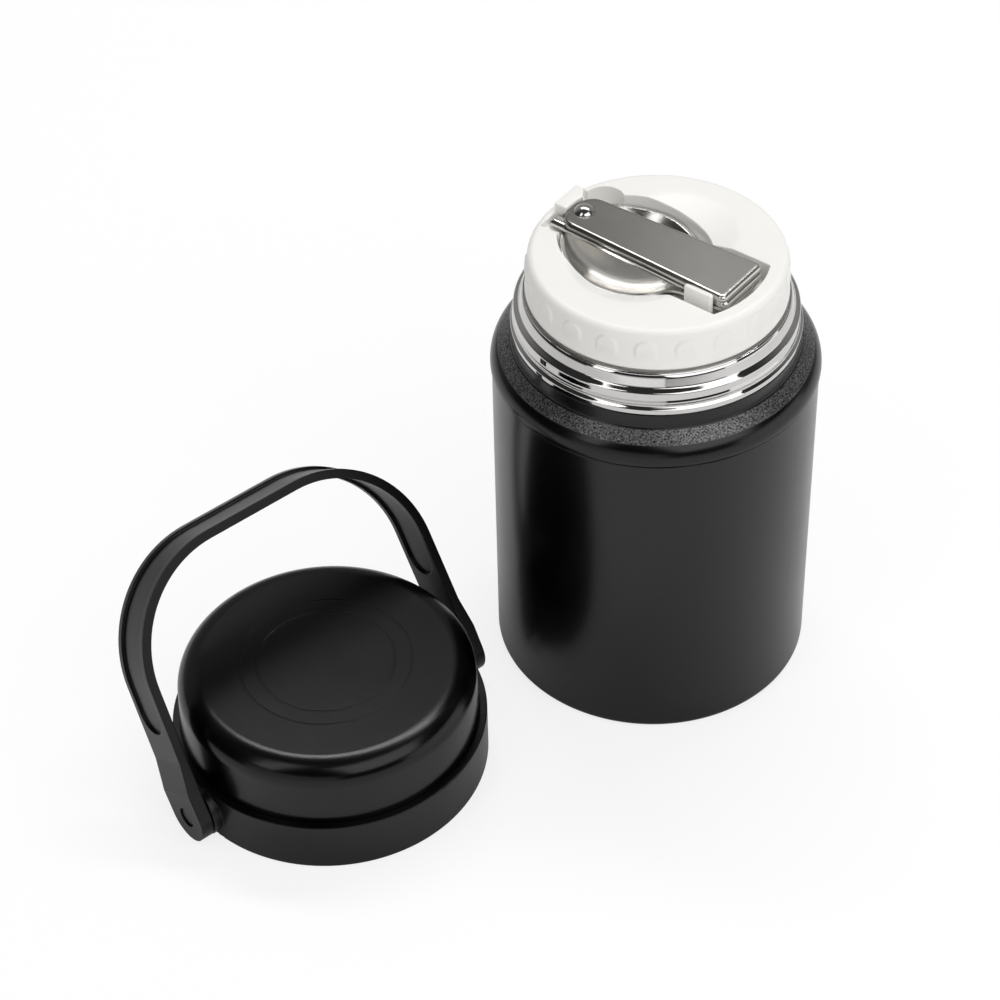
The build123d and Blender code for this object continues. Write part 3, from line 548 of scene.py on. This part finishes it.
lug_foot = lug_outline(-31.1, 3.3, (-30.9, 5.0))
lug_head = lug_outline(-30.3, 2.4, (-29.8, 4.9))
moulding = [
    spoon_place(stopper_rings()),
    spoon_place(upright(clip, clip, low=140.5, waist=145.0, high=TOP + TAB_RISE, edge=0.65)),
    spoon_place(upright(lug_foot, lug_head, low=141.5, waist=147.5, high=TOP + TAB_RISE, edge=0.5)),
]
stopper_top = closed_tube("moulded_top", *moulding)
piece("moulded_top", stopper_top, white_plastic, "white_plastic", "stopper", "stopper_top")


def ridge_points(radius, foot, pitch, turns, width, height, out=1):
    """Thread ridge on a wall: at each of 240 stations of a helix, a rounded section of that width
    stands out from the wall by height (inwards where out is -1), and both shrink at the ends."""
    s = np.linspace(0, 1, 240)[:, None]
    v = np.linspace(0, 2 * np.pi, 18, endpoint=False)[None, :]
    ends = np.clip(np.minimum(s, 1 - s) / 0.05, 0.02, 1)
    ends = ends * (2 - ends)
    rises = height * ends * np.maximum(np.sin(v), 0)
    sinks = 0.3 * np.minimum(np.sin(v), 0)
    stand = radius + out * (rises + sinks)
    level = foot + s * turns * pitch + 0.5 * width * ends * np.cos(v)
    turn = 2 * np.pi * turns * s
    return np.stack([stand * np.cos(turn), stand * np.sin(turn), level + 0 * turn], -1) / 1000


dress(white_plastic, "stopper_plug")
PLUG_RADIUS, PLUG_FOOT = 36.9, 112.4  # in mm
LEAD = 12.0  # of the thread's foot above the plug's
plug_thread = closed_tube("plug_thread", ridge_points(
    PLUG_RADIUS, PLUG_FOOT + LEAD, pitch=5.0, turns=1.3, width=2.2, height=0.35))
piece("plug_thread", plug_thread, white_plastic, "white_plastic", "stopper")

# Sealing ring of moulded silicone, stretched into the groove at the plug's foot, where it
# presses against the inside of the mouth.
silicone, place, wear = finish("silicone", IOR=1.42)
wear(
    Base_Color=place.noise(0.004).tint((0.70, 0.69, 0.66), (0.76, 0.75, 0.72)),
    Roughness=0.5 + 0.1 * place.noise(0.0009),
)
dress(silicone, "stopper_gasket")

# Discs cut from expanded polystyrene that insulate: one is shut in between the stopper's two
# mouldings and one between the cap's liner and dome.
foam, place, wear = finish("foam")
cells = place.node("TexVoronoi", {}, Vector=place, Scale=900.0)
wear(
    Base_Color=cells.tint((0.70, 0.69, 0.66), (0.84, 0.83, 0.80)),
    Roughness=0.85 + 0.1 * cells,
    Normal=cells.bump(0.0004),
)
dress(foam, "stopper_foam", "cap_foam")


# ---------------------------------------------------------------- spoon
# Folding spoon of pressed stainless steel: handle and link are channels with their edges folded
# down, and the bowl has a short stem. The handle is brushed, link and bowl are polished.
handle_steel, place, wear = finish("handle_steel", Metallic=1.0)
# The handle's base colour is painted lighter along its length, from one end to the other, as a
# painted reflection, with a random tone over it.
painted_sheen_and_tone = place.high(0).rise(-0.030, 0.028) + 0.25 * place.noise(0.009)
wear(
    Base_Color=painted_sheen_and_tone.tint((0.34, 0.335, 0.31), (0.66, 0.645, 0.61)),
    Roughness=0.20 + 0.08 * place.noise(0.0006, 3.0),
    Normal=place.noise(0.00045, 3.0).bump(0.000003, place.eased(0.0004)),
)
dress(handle_steel, "spoon_handle")

spoon_steel, place, wear = finish("spoon_steel", Metallic=1.0)
cloud = place.noise(0.006)
wear(
    Base_Color=cloud.tint((0.66, 0.65, 0.625), (0.76, 0.745, 0.72)),
    Roughness=0.15 + 0.10 * place.noise(0.0006, 3.0),
    Normal=place.noise(0.0004).bump(0.0000015, place.eased(0.0004)),
)
dress(spoon_steel, "spoon_bowl", "spoon_link")

# Two steel rivets with a washer on each, one domed on the handle and one flush in the link:
# their shanks are peened, and the three members turn on them.
rivet_steel, place, wear = finish("rivet_steel", Metallic=1.0)
wear(
    Base_Color=place.noise(0.003).tint((0.62, 0.61, 0.59), (0.70, 0.69, 0.67)),
    Roughness=0.10 + 0.08 * place.noise(0.0005),
    Normal=place.eased(0.0004),
)
dress(rivet_steel, "handle_rivet", "bowl_rivet", "handle_washer", "bowl_washer")


# ---------------------------------------------------------------- cap
# Screw-on cap standing on its mouth: a drawn steel dome with the same sprayed coat, finely
# grained on its flat top, is set in a moulded band.
DOME_TOP = 0.0380  # height in metres
cap_coat, place, wear = finish("cap_coat", IOR=1.4)
height = place.high(2)
top = height.rise(DOME_TOP - 0.0022, DOME_TOP - 0.0004)
grain = place.noise(0.0005, 3.0)
cloud = place.noise(0.012)
wear(
    Base_Color=top.tint(BLACK, (0.0016, 0.0016, 0.0017)),
    Roughness=0.18 + 0.04 * cloud + 0.04 * top,
    Normal=(grain * (0.3 + 0.7 * top)).bump(0.000025, place.eased(0.0002)),
)
dress(cap_coat, "cap_dome")

# Black polypropylene mouldings: the band round the cap's mouth with its two bosses, the liner
# welded into it, which has the thread, and the bail, which turns on two pins in the bosses.
black_plastic, place, wear = finish("black_plastic", IOR=1.4)
grain = place.noise(0.0003, 3.0)
cloud = place.noise(0.008)
wear(
    Base_Color=cloud.tint((0.0008, 0.0008, 0.0008), (0.0016, 0.0016, 0.0017)),
    Roughness=0.24 + 0.06 * grain + 0.04 * cloud,
    Normal=grain.bump(0.000006, place.eased(0.0005)),
)
dress(black_plastic, "cap_band", "cap_liner", "bail", "pivot_pin_left", "pivot_pin_right")

CAP_AWAY, CAP_AZIMUTH = 112.65, np.radians(212.12)  # of the cap's axis from the jar's
CAP_AXIS = np.array([CAP_AWAY * np.cos(CAP_AZIMUTH), CAP_AWAY * np.sin(CAP_AZIMUTH), 0.0]) / 1000
LINER_RADIUS, LINER_THREAD_FOOT = 42.0, 7.0  # in mm
liner_thread = ridge_points(
    LINER_RADIUS, LINER_THREAD_FOOT, pitch=3.4, turns=1.4, width=2.4, height=0.7, out=-1)
liner_thread = closed_tube("liner_thread", liner_thread + CAP_AXIS)
piece("liner_thread", liner_thread, black_plastic, "black_plastic", "cap")


# ---------------------------------------------------------------- studio
# White table in a dim room: a strip light behind and above, and in front two soft boxes and,
# under them, two low panels, on the left and on the right of the camera.
FLOOR_REACH, FLOOR_HEIGHT = 4, -0.0002  # metres, just under the jar
around = [(-1, -1), (1, -1), (1, 1), (-1, 1)]
floor_corners = [(FLOOR_REACH * x, FLOOR_REACH * y, FLOOR_HEIGHT) for x, y in around]
floor_mesh = bpy.data.meshes.new("floor")
floor_mesh.from_pydata(floor_corners, [], [(0, 1, 2, 3)])
floor = bpy.data.objects.new("floor", floor_mesh)
bpy.context.collection.objects.link(floor)

# White laminate that glows a little to the camera alone, so that the table fades into the
# background and still takes the jar's shadow.
TABLE_WHITE, TABLE_GLOW, GLOW_SHARE = (0.86, 0.86, 0.86, 1), 1.05, 0.75
table_top = bpy.data.materials.new("table_top")
table_top.use_nodes = True
tree = table_top.node_tree
tree.nodes.clear()
to_camera = Link(tree, tree.nodes.new("ShaderNodeLightPath").outputs["Is Camera Ray"])
lit = to_camera.node("BsdfDiffuse", {}, Color=TABLE_WHITE)
glow = to_camera.node("Emission", {}, Strength=TABLE_GLOW)
mixed = to_camera.node("MixShader", {}, i0=to_camera * GLOW_SHARE, i1=lit, i2=glow)
output = tree.nodes.new("ShaderNodeOutputMaterial")
tree.links.new(mixed.socket, output.inputs["Surface"])
floor.data.materials.append(table_top)

# Room: the camera sees white all round, matt surfaces take one even dim light, and gloss shows
# dark walls in front and paler ones behind.
ROOM_LIGHT = 0.36
FRONT_WALL, BACK_WALL = 0.03, 0.27
world = bpy.data.worlds.new("room")
bpy.context.scene.world = world
world.use_nodes = True
tree = world.node_tree
ray = tree.nodes.new("ShaderNodeLightPath")
to_camera, to_gloss = (Link(tree, ray.outputs[f"Is {kind} Ray"]) for kind in ("Camera", "Glossy"))
towards = Link(tree, tree.nodes.new("ShaderNodeTexCoord").outputs["Generated"]).high(1)
walls = towards.rise(0.0, 0.6).tint((FRONT_WALL,) * 3, (BACK_WALL,) * 3)
lighting = to_gloss.blend((ROOM_LIGHT,) * 3 + (1,), walls)
shown_colour = to_camera.blend(lighting, (1, 1, 1, 1))
tree.links.new(shown_colour.socket, tree.nodes["Background"].inputs["Color"])

LAMP_AWAY = 1.5  # metres from the origin


def soft_box(name, azimuth, elevation, size, radiance):
    """Rectangular lamp that faces the jar's foot from that azimuth (from +X towards +Y) and
    elevation: its power is radiance x area x pi."""
    lamp = bpy.data.lights.new(name, "AREA")
    lamp.shape = "RECTANGLE"
    lamp.size, lamp.size_y = size
    lamp.energy = radiance * size[0] * size[1] * np.pi
    holder = bpy.data.objects.new(name, lamp)
    bpy.context.collection.objects.link(holder)
    a, e = np.radians([azimuth, elevation])
    place = Vector((np.cos(a) * np.cos(e), np.sin(a) * np.cos(e), np.sin(e))) * LAMP_AWAY
    aim = (-place).to_track_quat("-Z", "Y").to_matrix().to_4x4()
    holder.matrix_world = Matrix.Translation(place) @ aim


soft_box("back_strip", 80, 66, size=(1.3, 0.20), radiance=12.5)
soft_box("right_box", -50, 44, size=(1.3, 1.1), radiance=1.75)
soft_box("left_box", -132, 44, size=(0.35, 1.1), radiance=1.75)
soft_box("low_right", -10, 8, size=(1.5, 0.6), radiance=1.0)
soft_box("low_left", -112, 8, size=(1.7, 0.6), radiance=0.6)

bpy.context.scene.view_settings.view_transform = "Standard"
